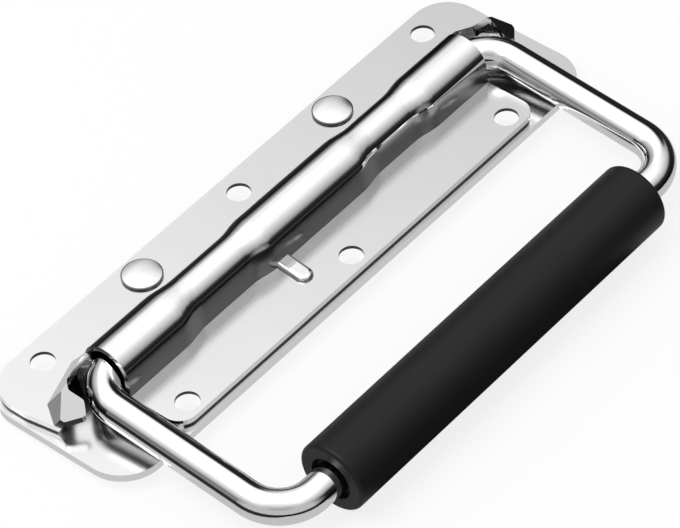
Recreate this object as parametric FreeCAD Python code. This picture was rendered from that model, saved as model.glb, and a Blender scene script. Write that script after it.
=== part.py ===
# Spring-loaded folding handle for a case or chest, with a rubber grip.
# X runs along the barrel, -Y points to the grip, +Z away from the case wall.
# The origin is the middle of the mounting face.
import FreeCAD, Part
import math
import os

from FreeCAD import Vector

# the two sheets
sheet = 2.0
pressed_wall = 1.2
base_length = 160.0
plate_width = 44.4
base_corner_r = 10.0
top_length = 157.0
top_corner_r = 9.0
front_lip = 1.3
strip_corner_r = 4.5

# screw holes and rivets, their rows measured in from the long edges; the rivets share the back row
screw_hole_d = 5.8
back_row_inset = 5.75
back_pitch = 64.8
front_row_inset = 5.45
front_pitch = 54.6
rivet_x = 32.5
rivet_shank_d = 4.0
rivet_head_d = 9.6
rivet_head_h = 1.7
rivet_rim_h = 0.5
rivet_tail_d = 5.6
rivet_tail_h = 0.8
rivet_fit = 0.05

# the bail, one bent rod
rod_d = 8.0
pivot_y = 0.35
pivot_z = 8.25
leg_x = 67.6
leg_length = 56.0
elbow_r = 9.0
corner_r = 10.0
rod_end_x = 14.0
rod_end_chamfer = 0.8
rest_gap = 0.15

# the barrel pressed into the top plate
neck_fit = 0.2
neck_drop = 0.3
spring_room = 1.0
mouth_x = 61.0
neck_run = 7.0
neck_steps = 4
left_neck_outer = 35.5
left_neck_inner = 19.5
right_neck_inner = 24.0
right_neck_outer = 36.5

# the cap pressed up at each end of the barrel, bounded by sloping planes: three flanks that rise
# from the flat of the sheet and a facet in front, each as x and y of a point, heading and slope
inner_flank = (60.8, 10.95, 138.0, 56.0)
back_flank = (65.3, 9.85, 71.0, 56.0)
outer_flank = (75.5, 4.1, 34.0, 66.0)
facet = (72.8, 2.3, -41.5, 40.0)
facet_z = 11.2

# the opening cut in each cap for the bail's elbow, and the rounded outline round the cap
rim_end_x = 69.0
peak_x = 72.0
peak_y = 1.2
lip_x = 71.2
lip_y = -2.5
toe_x = 73.0
toe_y = -4.5
tip_x = 76.8
tip_y = -1.4
shoulder_y = 9.0
cut_edge_r = 1.0
stop_fit = 0.2

# the spring, and the channel pressed for its tail
wire_d = 1.8
coil_fit = 0.4
coil_turns = 9
coil_pitch = 2.2
tail_x = -10.4
tail_length = 6.9
tail_bend_r = 3.0
tang_bend_r = 1.3
tang_length = 4.2
tang_fit = 0.15
wire_fit = 0.1
channel_end_room = 0.6

# the grip
grip_d = 17.3
grip_length = 105.0
grip_fit = 0.05
grip_edge_r = 0.9
grip_mouth_d = 10.6
grip_mouth_depth = 1.6

# how far cutting tools run past what they cut, the block the cap is cut from, and the distance
# below which two places count as one
past = 0.5
far = 120.0
cap_room = 12.0
tiny = 1e-4

# places that follow from the sizes above
rod_r = rod_d / 2
wire_r = wire_d / 2
half_base = base_length / 2
half_top = top_length / 2
half_width = plate_width / 2
plate_top = 2 * sheet
back_row_y = half_width - back_row_inset
front_row_y = front_row_inset - half_width
neck_in = rod_r + neck_fit
wide_in = neck_in + spring_room
neck_up = wide_in - neck_drop
rim_y = pivot_y + rod_r + stop_fit
pivot = Vector(0, pivot_y, pivot_z)

# The legs rest on the front edge of the base plate, and that sets how far they slope down.
edge_back = pivot_y + half_width
edge_down = pivot_z - sheet
edge_reach = math.hypot(edge_back, edge_down)
rest_slope = math.acos((rod_r + rest_gap) / edge_reach) - math.atan2(edge_back, edge_down)
leg_dir = Vector(0, -math.cos(rest_slope), -math.sin(rest_slope))
grip_axis = pivot + leg_dir * leg_length

# The tail leaves the coil along a tangent and drops to the floor of its channel.
coil_r = wide_in - coil_fit - wire_r
tail_y = pivot_y - wide_in
tail_z = sheet + wire_r + wire_fit
tail_back = pivot_y - tail_y
tail_drop = pivot_z - tail_z
tail_slope = math.atan2(tail_drop, tail_back) - math.asin(coil_r / math.hypot(tail_drop, tail_back))
helix_angle = math.atan(coil_pitch / (2 * math.pi * coil_r))
tail_rise = math.sqrt(tail_drop ** 2 + tail_back ** 2 - coil_r ** 2)
coil_start_x = tail_x + tail_rise * math.tan(helix_angle)
spin = FreeCAD.Rotation(Vector(1, 0, 0), math.degrees(tail_slope))
tail_heading = Vector(math.sin(helix_angle), math.cos(helix_angle), 0)
wire_heading = spin.multVec(tail_heading)
coil_start = pivot + spin.multVec(Vector(coil_start_x, 0, -coil_r))

# After whole turns the wire leaves the coil with the same heading and bends into the tang.
coil_end = coil_start + Vector(coil_turns * coil_pitch, 0, 0)
tang_turn = wire_heading.getAngle(Vector(1, 0, 0))
tang_corner = coil_end + wire_heading * (tang_bend_r * math.tan(tang_turn / 2))


def box(x0, x1, y0, y1, z0, z1):
    return Part.makeBox(x1 - x0, y1 - y0, z1 - z0, Vector(x0, y0, z0))


def bend(before, corner, after, radius):
    """The arc that rounds a corner, as its first, middle and last point."""
    into = (corner - before).normalize()
    out = (after - corner).normalize()
    half_turn = into.getAngle(out) / 2
    back = radius * math.tan(half_turn)
    inward = (out - into).normalize()
    middle = corner + inward * (radius / math.cos(half_turn) - radius)
    return corner - into * back, middle, corner + out * back


def rounded(corners):
    """A closed wire through (x, y, radius) corners."""
    points = [Vector(x, y, 0) for x, y, r in corners]
    count = len(corners)
    arcs = []
    for i in range(count):
        radius = corners[i][2]
        arcs.append(bend(points[i - 1], points[i], points[(i + 1) % count], radius))
    edges = []
    for i in range(count):
        first, middle, last = arcs[i]
        if corners[i][2] > 0:
            edges.append(Part.Arc(first, middle, last).toShape())
        edges.append(Part.LineSegment(last, arcs[(i + 1) % count][0]).toShape())
    return Part.Wire(edges)


def prism(wire, z0, z1):
    face = Part.Face(wire)
    face.translate(Vector(0, 0, z0))
    return face.extrude(Vector(0, 0, z1 - z0))


def rod(centre, direction, length, radius):
    return Part.makeCylinder(radius, length, centre, direction)


def sweep(path, start, direction, radius):
    section = Part.Wire(Part.Circle(start, direction, radius).toShape())
    return Part.Wire(path).makePipeShell([section], True, False)


def with_mirror(shape):
    return shape.fuse(shape.mirror(Vector(0, 0, 0), Vector(1, 0, 0)))


def holes_through_both():
    cutters = []
    for step in (-1, 0, 1):
        for pitch, y in ((back_pitch, back_row_y), (front_pitch, front_row_y)):
            start = Vector(step * pitch, y, -past)
            cutters.append(rod(start, Vector(0, 0, 1), far, screw_hole_d / 2))
    for side in (-1, 1):
        start = Vector(side * rivet_x, back_row_y, -past)
        cutters.append(rod(start, Vector(0, 0, 1), far, rivet_shank_d / 2 + rivet_fit))
    return cutters


def base_plate():
    """Flat sheet against the case wall, with the rivets sunk flush into its underside."""
    x, y, r = half_base, half_width, base_corner_r
    plate = prism(rounded([(-x, -y, r), (x, -y, r), (x, y, r), (-x, y, r)]), 0, sheet)
    plate = plate.cut(holes_through_both())
    for side in (-1, 1):
        sink = Part.makeCone(
            rivet_tail_d / 2 + rivet_fit,
            rivet_shank_d / 2 + rivet_fit,
            rivet_tail_h,
            Vector(side * rivet_x, back_row_y, 0),
        )
        plate = plate.cut(sink)
    return plate


def rivet(side):
    """Low domed head on the top plate, shank through both sheets, tail spread flush below."""
    top = plate_top + rivet_head_h
    rim = plate_top + rivet_rim_h
    head_r = rivet_head_d / 2
    cap_rise = rivet_head_h - rivet_rim_h
    ball_r = (head_r ** 2 + cap_rise ** 2) / (2 * cap_rise)
    half_way = head_r / 2
    dome_mid = Vector(half_way, 0, top - ball_r + math.sqrt(ball_r ** 2 - half_way ** 2))
    corners = [
        Vector(0, 0, top),
        Vector(0, 0, 0),
        Vector(rivet_tail_d / 2, 0, 0),
        Vector(rivet_shank_d / 2, 0, rivet_tail_h),
        Vector(rivet_shank_d / 2, 0, plate_top),
        Vector(head_r, 0, plate_top),
        Vector(head_r, 0, rim),
    ]
    edges = [Part.LineSegment(a, b).toShape() for a, b in zip(corners, corners[1:])]
    edges.append(Part.Arc(corners[-1], dome_mid, corners[0]).toShape())
    body = Part.Face(Part.Wire(edges)).revolve(Vector(0, 0, 0), Vector(0, 0, 1), 360)
    body.translate(Vector(side * rivet_x, back_row_y, 0))
    return body


def arch(x, across, up, foot):
    """The barrel's section: a round or upright oval crown on straight walls down to its foot."""
    front = Vector(x, pivot_y - across, pivot_z)
    crown = Vector(x, pivot_y, pivot_z + up)
    back = Vector(x, pivot_y + across, pivot_z)
    front_foot = Vector(x, front.y, foot)
    back_foot = Vector(x, back.y, foot)
    if up - across > tiny:
        oval = Part.Ellipse(crown, back, Vector(x, pivot_y, pivot_z))
        bow = Part.ArcOfEllipse(oval, -math.pi / 2, math.pi / 2)
    else:
        bow = Part.Arc(front, crown, back)
    return Part.Wire([
        Part.LineSegment(front_foot, front).toShape(),
        bow.toShape(),
        Part.LineSegment(back, back_foot).toShape(),
        Part.LineSegment(back_foot, front_foot).toShape(),
    ])


def barrel_solid(skin, foot):
    """The pressed barrel as a solid: wide round the spring and the mouths, its necks pinched in."""
    stations = [
        (-mouth_x, wide_in, wide_in),
        (-left_neck_outer - neck_run, wide_in, wide_in),
        (-left_neck_outer, neck_in, neck_up),
        (-left_neck_inner, neck_in, neck_up),
        (-left_neck_inner + neck_run, wide_in, wide_in),
        (right_neck_inner - neck_run, wide_in, wide_in),
        (right_neck_inner, neck_in, neck_up),
        (right_neck_outer, neck_in, neck_up),
        (right_neck_outer + neck_run, wide_in, wide_in),
        (mouth_x, wide_in, wide_in),
    ]
    lengths = []
    for (x0, across0, up0), (x1, across1, up1) in zip(stations, stations[1:]):
        steps = 1 if across0 == across1 else neck_steps
        sections = []
        for i in range(steps + 1):
            t = i / steps
            eased = t * t * (3 - 2 * t)
            x = x0 + (x1 - x0) * t
            across = across0 + (across1 - across0) * eased + skin
            up = up0 + (up1 - up0) * eased + skin
            sections.append(arch(x, across, up, foot))
        lengths.append(Part.makeLoft(sections, True, steps == 1))
    return lengths[0].fuse(lengths[1:])


def beyond(point, heading, slope, depth):
    """All space outside a sloping face at the right end, the face sunk by a depth."""
    tilt = math.radians(slope)
    turn = math.radians(heading)
    outward = Vector(math.cos(turn), math.sin(turn), 0)
    normal = outward * math.sin(tilt) + Vector(0, 0, math.cos(tilt))
    block = box(-far, far, -far, far, 0, far)
    block.rotate(Vector(0, 0, 0), Vector(0, 0, 1).cross(outward), slope)
    block.translate(point - normal * depth)
    return block


def cap_solid(depth, foot):
    """The pressed cap at both ends, its flanks rising from the flat of the top plate."""
    block = box(mouth_x - cap_room, half_base, rim_y, half_width, foot, far)
    block = block.fuse(box(mouth_x, half_base, -cap_room, rim_y, foot, far))
    for x, y, heading, slope in (inner_flank, back_flank, outer_flank):
        block = block.cut(beyond(Vector(x, y, plate_top), heading, slope, depth))
    x, y, heading, slope = facet
    block = block.cut(beyond(Vector(x, y, facet_z), heading, slope, depth))
    return with_mirror(block)


def channel_solid(skin, foot):
    """A round-ended rib that covers the straight tail of the spring."""
    radius = wire_r + wire_fit + skin
    top = sheet + wire_d + 2 * wire_fit + skin
    reach = tail_length + channel_end_room
    root = Vector(tail_x, tail_y, 0)
    straight = box(-radius, radius, -reach, pressed_wall + past, foot, top)
    nose = rod(Vector(0, -reach, foot), Vector(0, 0, 1), top - foot, radius)
    rib = straight.fuse(nose).removeSplitter()
    crown = []
    for edge in rib.Edges:
        room = edge.BoundBox
        if room.ZMin > top - tiny and room.YMin < pressed_wall:
            crown.append(edge)
    rib = rib.makeFillet(radius / 2, crown)
    rib.rotate(Vector(0, 0, 0), Vector(0, 0, 1), -math.degrees(helix_angle))
    rib.translate(root)
    return rib


def top_outline():
    """The cut edge of the top plate seen from above, open at each end for the elbow and the leg."""
    left = [
        (-mouth_x, front_lip - half_width, strip_corner_r),
        (-mouth_x, rim_y, 0),
        (-rim_end_x, rim_y, cut_edge_r),
        (-peak_x, peak_y, cut_edge_r),
        (-lip_x, lip_y, cut_edge_r),
        (-toe_x, toe_y, cut_edge_r),
        (-tip_x, tip_y, cut_edge_r),
        (-half_top, shoulder_y, top_corner_r),
        (-half_top, half_width, top_corner_r),
    ]
    right = [(-x, y, r) for x, y, r in reversed(left)]
    return rounded(left + right)


def top_plate():
    """One stamping: back strip, barrel with its caps, front strip and the channel for the tail."""
    slab = box(-half_base, half_base, -half_width, half_width, sheet, plate_top)
    raised = [barrel_solid(pressed_wall, sheet), cap_solid(0, sheet), channel_solid(pressed_wall, sheet)]
    blank = slab.fuse(raised).common(prism(top_outline(), 0, far))
    below = sheet - past
    hollow = [barrel_solid(0, below), cap_solid(pressed_wall, below), channel_solid(0, below)]
    return blank.cut(hollow + holes_through_both())


def bail():
    """One rod bent into a bail, its ends turned inward to lie in the barrel."""
    elbow = pivot - Vector(leg_x, 0, 0)
    corner = elbow + leg_dir * leg_length
    inner_end = pivot - Vector(rod_end_x, 0, 0)
    stops = [inner_end, elbow, corner]
    stops += [Vector(-p.x, p.y, p.z) for p in reversed(stops)]
    radii = (elbow_r, corner_r, corner_r, elbow_r)
    edges = []
    here = stops[0]
    for i in range(1, len(stops) - 1):
        first, middle, last = bend(stops[i - 1], stops[i], stops[i + 1], radii[i - 1])
        edges.append(Part.LineSegment(here, first).toShape())
        edges.append(Part.Arc(first, middle, last).toShape())
        here = last
    edges.append(Part.LineSegment(here, stops[-1]).toShape())
    bent = sweep(edges, inner_end, Vector(-1, 0, 0), rod_r)
    rims = []
    for edge in bent.Edges:
        room = edge.BoundBox
        if room.XLength < tiny and abs(room.XMin) < rod_end_x + tiny:
            rims.append(edge)
    bent = bent.makeChamfer(rod_end_chamfer, rims)
    seat = wire_r + tang_fit
    aside = tang_corner.y - pivot_y
    down = pivot_z - tang_corner.z
    floor = seat - math.hypot(aside, down)
    notch = box(0, tang_corner.x + tang_length + tang_fit, -seat, seat, -far, floor)
    notch.rotate(Vector(0, 0, 0), Vector(1, 0, 0), math.degrees(math.atan2(aside, down)))
    notch.translate(pivot)
    return bent.cut(notch)


def torsion_spring():
    """Coil between the rod ends, one end straight in its channel, the other a tang in the rod."""
    coil = Part.makeHelix(coil_pitch, coil_turns * coil_pitch, coil_r)
    coil.rotate(Vector(0, 0, 0), Vector(0, 1, 0), 90)
    coil.rotate(Vector(0, 0, 0), Vector(1, 0, 0), math.degrees(tail_slope))
    coil.translate(pivot + Vector(coil_start_x, 0, 0))
    foot = Vector(tail_x, tail_y, tail_z)
    tail_end = foot - tail_heading * tail_length
    first, middle, last = bend(tail_end, foot, coil_start, tail_bend_r)
    tail = [
        Part.LineSegment(tail_end, first).toShape(),
        Part.Arc(first, middle, last).toShape(),
        Part.LineSegment(last, coil_start).toShape(),
    ]
    tang_end = tang_corner + Vector(tang_length, 0, 0)
    first, middle, last = bend(coil_end, tang_corner, tang_end, tang_bend_r)
    tang = [
        Part.Arc(coil_end, middle, last).toShape(),
        Part.LineSegment(last, tang_end).toShape(),
    ]
    pieces = [
        sweep(tail, tail_end, tail_heading, wire_r),
        sweep([coil.Edges[0]], coil_start, wire_heading, wire_r),
        sweep(tang, coil_end, wire_heading, wire_r),
    ]
    return pieces[0].fuse(pieces[1:])


def grip():
    """Rubber sleeve on the bail's cross bar, its ends opened out round the rod."""
    half = grip_length / 2
    start = grip_axis - Vector(half, 0, 0)
    along = Vector(1, 0, 0)
    sleeve = rod(start, along, grip_length, grip_d / 2)
    rims = [edge for edge in sleeve.Edges if edge.BoundBox.XLength < tiny]
    sleeve = sleeve.makeFillet(grip_edge_r, rims)
    bore = rod(start - along * past, along, grip_length + 2 * past, rod_r + grip_fit)
    mouth = rod(start - along * past, along, grip_mouth_depth + past, grip_mouth_d / 2)
    return sleeve.cut([bore, with_mirror(mouth)])


os.makedirs("parts", exist_ok=True)
nodes = {
    "base_plate": base_plate(),
    "top_plate": top_plate(),
    "rivet_left": rivet(-1),
    "rivet_right": rivet(1),
    "bail": bail(),
    "grip": grip(),
    "torsion_spring": torsion_spring(),
}
for name, shape in nodes.items():
    shape.Solids[0].exportStep("parts/" + name + ".step")
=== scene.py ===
import math

import bpy
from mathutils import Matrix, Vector


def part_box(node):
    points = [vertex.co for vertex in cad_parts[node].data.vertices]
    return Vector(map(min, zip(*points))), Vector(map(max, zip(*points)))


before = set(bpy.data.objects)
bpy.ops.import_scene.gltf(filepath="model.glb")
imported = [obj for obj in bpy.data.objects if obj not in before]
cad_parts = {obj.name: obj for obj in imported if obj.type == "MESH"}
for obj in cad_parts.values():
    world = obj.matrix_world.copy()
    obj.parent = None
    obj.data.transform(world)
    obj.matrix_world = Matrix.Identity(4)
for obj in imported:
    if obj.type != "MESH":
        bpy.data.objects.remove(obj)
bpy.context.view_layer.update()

# The base plate is a flat blank of sheet steel, punched for the screws and plated bright.
# The top plate is riveted on it. Its round barrel, end caps and short channel are pressed up
# before it is plated too, and a line of painted shade runs round its holes and under its edge.
class Wire:
    """One shader socket. Sums, products and comparisons add the Math nodes that they need."""

    def __init__(self, tree, socket=None):
        self.tree = tree
        self.socket = socket

    def node(self, kind, settings, sockets, output=0):
        """Adds one node of any kind: its settings first, then what its sockets hold."""
        made = self.tree.nodes.new("ShaderNode" + kind)
        for name, value in settings.items():
            if name == "stops":
                ramp = made.color_ramp.elements
                ramp[0].position = value[0][0]
                ramp[1].position = value[-1][0]
                for place, _ in value[1:-1]:
                    ramp.new(place)
                for element, (_, grey) in zip(ramp, value):
                    element.color = (grey, grey, grey, 1)
            else:
                setattr(made, name, value)
        for name, value in sockets.items():
            if isinstance(value, Wire):
                self.tree.links.new(value.socket, made.inputs[name])
            else:
                made.inputs[name].default_value = value
        return Wire(self.tree, made.outputs[output] if made.outputs else None)

    def maths(self, operation, *values):
        return self.node("Math", {"operation": operation}, dict(enumerate(values)))

    def split(self):
        """The three parts of a vector."""
        return [self.node("SeparateXYZ", {}, {"Vector": self}, axis) for axis in "XYZ"]

    def towards(self, aim):
        """How far a vector points in the direction of the aim."""
        return self.node("VectorMath", {"operation": "DOT_PRODUCT"}, {0: self, 1: aim}, "Value")

    def ramp(self, *stops):
        """A grey for each value from 0 to 1. Each stop is one value and its grey."""
        return self.node("ValToRGB", {"stops": stops}, {"Fac": self})

    def larger(self, other):
        return self.maths("MAXIMUM", self, other)

    def __abs__(self):
        return self.maths("ABSOLUTE", self)

    def __gt__(self, other):
        return self.maths("GREATER_THAN", self, other)

    def __lt__(self, other):
        return self.maths("LESS_THAN", self, other)

    def __add__(self, other):
        return self.maths("ADD", self, other)

    def __radd__(self, other):
        return self.maths("ADD", other, self)

    def __sub__(self, other):
        return self.maths("SUBTRACT", self, other)

    def __rsub__(self, other):
        return self.maths("SUBTRACT", other, self)

    def __mul__(self, other):
        return self.maths("MULTIPLY", self, other)

    def __rmul__(self, other):
        return self.maths("MULTIPLY", other, self)


def new_finish(name):
    """An empty material, and the wire from which its nodes are made."""
    finish = bpy.data.materials.new(name)
    finish.use_nodes = True
    finish.node_tree.nodes.clear()
    return finish, Wire(finish.node_tree)


def dress(piece, finish):
    """Gives a piece one finish in place of its plain one."""
    piece.data.materials.clear()
    piece.data.materials.append(finish)


def soften(piece, width):
    """Rounds the cut edges, which the press and the polishing drum leave smooth."""
    edges = piece.modifiers.new("soft_edges", "BEVEL")
    edges.width = width
    edges.segments = 3
    edges.limit_method = "ANGLE"
    edges.angle_limit = math.radians(40)


# The pressed forms lie above strip_top, which is in metres from the mounting face. The other
# values say how much greyer or hazier the plating is in its clouds, on the flat strips, on the
# pressed walls and inside the caps. The grey in the clouds is the plating's own. The grey on the
# flat strips and inside the caps is painted shade, standing in for the dimmer tent that the strips
# mirror and the shade in the hollow caps. The strips gain 0.01 of grey for each centimetre to the
# right, which is more painted shade where they mirror less of the tent, and all plating is a trace
# bluer than grey.
strip_top = 0.0041
cloud_grey = 0.04
cloud_haze = 0.05
strip_shade_painted = 0.17
strip_haze = 0.13
wall_haze = 0.1
inner_shade_painted = 0.75
blue_cast = 1.01


def plated(name, grey, haze, wave_size, wave_depth, draft=0.0, dome=0.0, shade=0.0, lines=None):
    """Bright plating: a mirror with a little haze and a slow wave left by the metal below.
    With a draft, upright walls above the flat strips shine as if they leaned back by it.
    A dome above 0 lets a domed head shine as a flatter one, and shade is painted shade that
    darkens upright walls above the flat strips.
    The lines are a function that says how much painted shade darkens a place."""
    finish, start = new_finish(name)
    place = start.node("TexCoord", {}, {}, "Object")
    width, depth, height = place.split()
    cloud = start.node("TexNoise", {}, {"Vector": place, "Scale": 90, "Detail": 4})
    wave = start.node("TexNoise", {}, {"Vector": place, "Scale": 1 / wave_size, "Detail": 1})

    # The upward part of a normal is 1 on a level face, 0 on an upright wall and below 0 on a face
    # that looks down. Outer walls are given at least the draft, and other faces keep their own.
    x, y, up = start.node("NewGeometry", {}, {}, "Normal").split()
    above = height > strip_top
    least = above * (up > -0.1) * (1 + draft) - 1
    lift = dome * (up > 0.3)
    leaning = start.node("CombineXYZ", {}, {"X": x, "Y": y, "Z": up.larger(least) + lift})
    facing = start.node("VectorMath", {"operation": "NORMALIZE"}, {0: leaning}, "Vector")
    bump = start.node("Bump", {}, {
        "Height": wave, "Distance": wave_depth, "Strength": 1.0, "Normal": facing,
    })

    strip = (up > 0.99) * (1 - above)
    wall = above * (up < 0.34)
    inner = above * (up < -0.15)
    # Painted shade: the flat strips, the upright walls above them, the insides of the caps and the
    # lines are made darker here for the shade and dark reflections that fall there. Only the cloud
    # grey is the plating's own.
    tone = (grey - cloud_grey * cloud) * (1 - strip * (strip_shade_painted + width)) * (1 - shade * wall)
    rough = haze + cloud_haze * cloud + strip_haze * strip
    if draft:
        tone = tone * (1 - inner_shade_painted * inner)
        rough = rough + wall_haze * wall
    if lines:
        tone = tone * (1 - lines(width, depth, height, up))
    colour = start.node("CombineColor", {}, {
        "Red": tone, "Green": tone, "Blue": tone * blue_cast,
    })
    skin = start.node("BsdfPrincipled", {}, {
        "Base Color": colour,
        "Metallic": 1.0,
        "Roughness": rough,
        "Normal": bump,
    })
    start.node("OutputMaterial", {}, {"Surface": skin})
    return finish


# The top plate's outline lies past one of the first two, and its holes lie within both. The line
# of painted shade under the outline ends at edge_line_top, and the one on the hole walls begins
# at hole_line_foot.
outline_x = 0.0725
outline_y = 0.0198
edge_line_top = 0.0026
hole_line_foot = 0.0031
line_shade_painted = 0.96


def sheet_shade_lines(width, depth, height, up):
    """How much painted shade darkens the top plate at the foot of its cut edge and at its holes.
    """
    outline = (abs(width) > outline_x).larger(abs(depth) > outline_y)
    line = outline * (height < edge_line_top) + (1 - outline) * (height > hole_line_foot)
    cut_wall = (abs(up) < 0.4) * (height < strip_top)
    return line_shade_painted * (cut_wall * line)


flat_finish = plated("plated_base", grey=0.82, haze=0.03, wave_size=0.012, wave_depth=0.00002)
pressed_finish = plated("plated_pressing", grey=0.82, haze=0.03, wave_size=0.012,
                        wave_depth=0.00002, draft=0.3, shade=0.4, lines=sheet_shade_lines)
for name, finish, edge in (("base_plate", flat_finish, 0.00045),
                           ("top_plate", pressed_finish, 0.0002)):
    dress(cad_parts[name], finish)
    soften(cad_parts[name], edge)

# Two rivets hold the sheets together. Each is a plated steel pin with a low domed head on top,
# and its tail is closed flush in the base plate. A ring of painted shade runs round the foot of
# each head.
rivet_low, rivet_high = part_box("rivet_right")
rivet_middle = (rivet_low + rivet_high) / 2
ring_width = 0.0003
ring_radius = (rivet_high.y - rivet_low.y) / 2 - ring_width
ring_shade_painted = 0.8


def foot_shade_ring(width, depth, *_):
    """How much painted shade darkens a rivet's head round its foot."""
    beside = abs(width) - rivet_middle.x
    behind = depth - rivet_middle.y
    return ring_shade_painted * (beside * beside + behind * behind > ring_radius ** 2)


# Besides the painted ring, shade=0.9 paints shade on the heads' upright faces above strip_top.
rivet_finish = plated("plated_rivet", grey=0.78, haze=0.12, wave_size=0.004,
                      wave_depth=0.00001, dome=1.5, shade=0.9, lines=foot_shade_ring)
for name in ("rivet_left", "rivet_right"):
    dress(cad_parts[name], rivet_finish)

# The bail is one round steel rod, bent four times, polished and plated.
# Its two ends turn in the barrel.
rod_finish = plated("plated_rod", grey=0.88, haze=0.02, wave_size=0.02, wave_depth=0.00001)
dress(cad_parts["bail"], rod_finish)

# The torsion spring is wound from drawn steel wire and lies in the barrel, between the rod's
# ends. One end is held by the rod and the other by the top plate's short channel.
spring_finish = plated("drawn_wire", grey=0.52, haze=0.25, wave_size=0.001, wave_depth=0.00001)
dress(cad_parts["torsion_spring"], spring_finish)

# The grip is a thick sleeve of black rubber, cut square at its ends.
# It is pushed on the rod before the rod is bent.
def rubber(name):
    """Black rubber with a fine grain and a faint, uneven bloom."""
    finish, start = new_finish(name)
    place = start.node("TexCoord", {}, {}, "Object")
    grain = start.node("TexNoise", {}, {"Vector": place, "Scale": 2500, "Detail": 2})
    bloom = start.node("TexNoise", {}, {"Vector": place, "Scale": 60, "Detail": 3})
    bump = start.node("Bump", {}, {"Height": grain, "Distance": 0.00003, "Strength": 0.6})
    skin = start.node("BsdfPrincipled", {}, {
        "Base Color": (0.007, 0.007, 0.007, 1),
        "Specular IOR Level": 0.25,
        "Roughness": 0.42 + 0.12 * bloom,
        "Normal": bump,
    })
    start.node("OutputMaterial", {}, {"Surface": skin})
    return finish


dress(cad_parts["grip"], rubber("black_rubber"))

# The table is plain and pale. The loose handle lies on it on its grip and its back edge, so the
# table slopes a little against the plate.
grip_low, grip_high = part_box("grip")
base_low, base_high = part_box("base_plate")
grip_middle = (grip_low + grip_high) / 2
grip_radius = (grip_high.z - grip_low.z) / 2
back_edge = Vector((0, base_high.y, base_low.z))
run = back_edge - grip_middle
slope = math.asin(grip_radius / math.hypot(run.y, run.z)) + math.atan2(run.z, run.y)
table_gap = 0.0002
bpy.ops.mesh.primitive_plane_add(size=0.7, location=back_edge - Vector((0, 0, table_gap)))
table = bpy.context.object
table.name = "table"
table.rotation_euler.x = slope

# Painted reflection: the table glows only for rays that the metal mirrors, white beside the legs,
# round the plate and under it, and dark elsewhere.
# Places are in metres from the middle of the plate's back edge, and the front is below 0. The
# stops beside the legs are in tenths of a metre, and those in front are shares of white_reach.
half_length = base_high.x
half_width = base_high.y
rim_end = 0.007
rim_front = 0.0046
inset_end = 0.001
inset_side = 0.0007
white_front = 0.115
white_reach = 0.117
by_plate_white = 0.68
under_plate_white = 0.5
table_white = 0.8
finish, start = new_finish("pale_table")
across, along, _ = start.node("TexCoord", {}, {}, "Object").split()
across = abs(across)
by_legs = (across * 10).ramp((0.43, 0.03), (0.5, 0.6), (0.89, 0.6), (0.95, 0.03))
by_plate = (across < half_length + rim_end) * (along > -2 * half_width - rim_front)
beneath = abs(along + half_width) < half_width - inset_side
under_plate = (across < half_length - inset_end) * beneath
in_front = ((along + white_front) * (1 / white_reach)).ramp(
    (0.0, 0.05), (0.07, 1.0), (0.96, 1.0), (0.985, 0.05))
near_plate = by_plate * by_plate_white + under_plate * under_plate_white
painted_reflection_white = in_front * by_legs.larger(near_plate)
seen = start.node("LightPath", {}, {}, "Is Camera Ray")
mirrored = start.node("LightPath", {}, {}, "Is Glossy Ray")
matt = start.node("BsdfDiffuse", {}, {"Color": (0.9, 0.9, 0.9, 1)})
glow = start.node("Emission", {}, {"Color": seen + mirrored * painted_reflection_white, "Strength": 1.0})
both = start.node("MixShader", {}, {0: seen * table_white + mirrored, 1: matt, 2: glow})
start.node("OutputMaterial", {}, {"Surface": both})
dress(table, finish)

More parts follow.
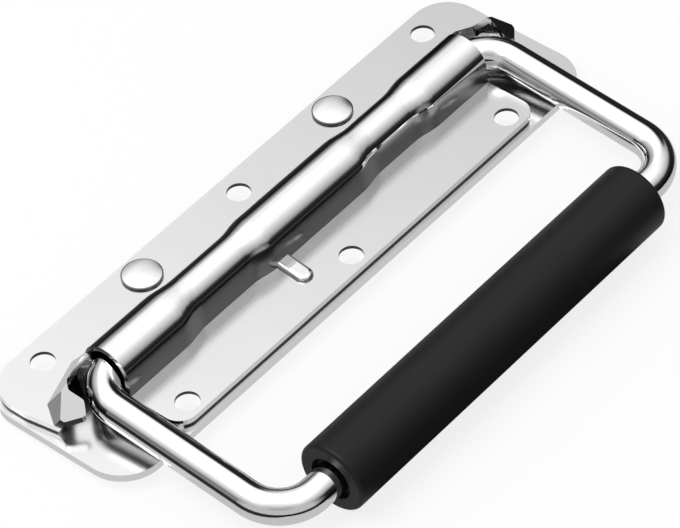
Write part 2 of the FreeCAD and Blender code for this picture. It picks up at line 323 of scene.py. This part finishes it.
# The studio is a white tent. It is dark along its foot and has a black flag on the right, and the
# metal shows both as black lines. The tent is brighter at the back and greyer round the camera,
# and a pale board at its front left hides the dark foot there.
flag_way = (0.83, 0.3, 0.47)
camera_way = (-0.5, -0.5, 0.7)
board_way = (-0.75, -0.65, 0)
tent_strength = 2.5
tent_grey = 0.75
world = bpy.data.worlds.new("tent")
bpy.context.scene.world = world
world.use_nodes = True
world.node_tree.nodes.clear()
start = Wire(world.node_tree)
way = start.node("TexCoord", {}, {}, "Generated")
_, backwards, upwards = way.split()
cloth = upwards.ramp(
    (0.1, 0.01), (0.27, 0.03), (0.42, 0.34), (0.6, 0.56), (0.72, 0.73), (0.83, 1.0))
back = backwards.ramp((0.2, 0.5), (0.5, 0.62), (0.62, 0.75), (0.74, 0.45))
flag = way.towards(flag_way).ramp((0.94, 1.0), (0.965, 0.8), (0.975, 0.3), (0.985, 0.03))
round_camera = way.towards(camera_way).ramp((0.9, 1.0), (0.97, 0.72))
board = way.towards(board_way).ramp((0.3, 0.0), (0.6, 0.45))
tent = cloth.larger(board) * (flag * round_camera) * (back * tent_strength)
seen = start.node("LightPath", {}, {}, "Is Camera Ray")
mirrored = start.node("LightPath", {}, {}, "Is Glossy Ray")
plain = start.node("Background", {}, {
    "Color": tent_grey + (1 - tent_grey) * seen, "Strength": 1.0,
})
shown = start.node("Background", {}, {"Color": tent, "Strength": 1.0})
both = start.node("MixShader", {}, {0: mirrored, 1: plain, 2: shown})
start.node("OutputWorld", {}, {"Surface": both})

# One square softbox hangs high above the handle, to its left.
# It lights the grip and gives the table its soft shadow.
lamp = bpy.data.lights.new("softbox", "AREA")
lamp.shape = "RECTANGLE"
lamp.size = 0.6
lamp.size_y = 0.6
lamp.energy = 4
softbox = bpy.data.objects.new("softbox", lamp)
bpy.context.scene.collection.objects.link(softbox)
softbox.location = (-0.35, 0.15, 0.9)
softbox.rotation_euler = (-softbox.location).to_track_quat("-Z", "Y").to_euler()

# The camera stands where the photograph was taken from, with the same long lens.
# It looks down on the handle from its front left.
view = bpy.data.cameras.new("camera")
view.sensor_width = 36
view.lens = 235.75
view.clip_end = 20
camera = bpy.data.objects.new("camera", view)
bpy.context.scene.collection.objects.link(camera)
camera.location = (-0.4961, -0.49792, 0.70472)
camera.rotation_euler = [math.radians(angle) for angle in (44.368, 3.91, -49.64)]
bpy.context.scene.camera = camera
bpy.context.scene.view_settings.view_transform = "Standard"
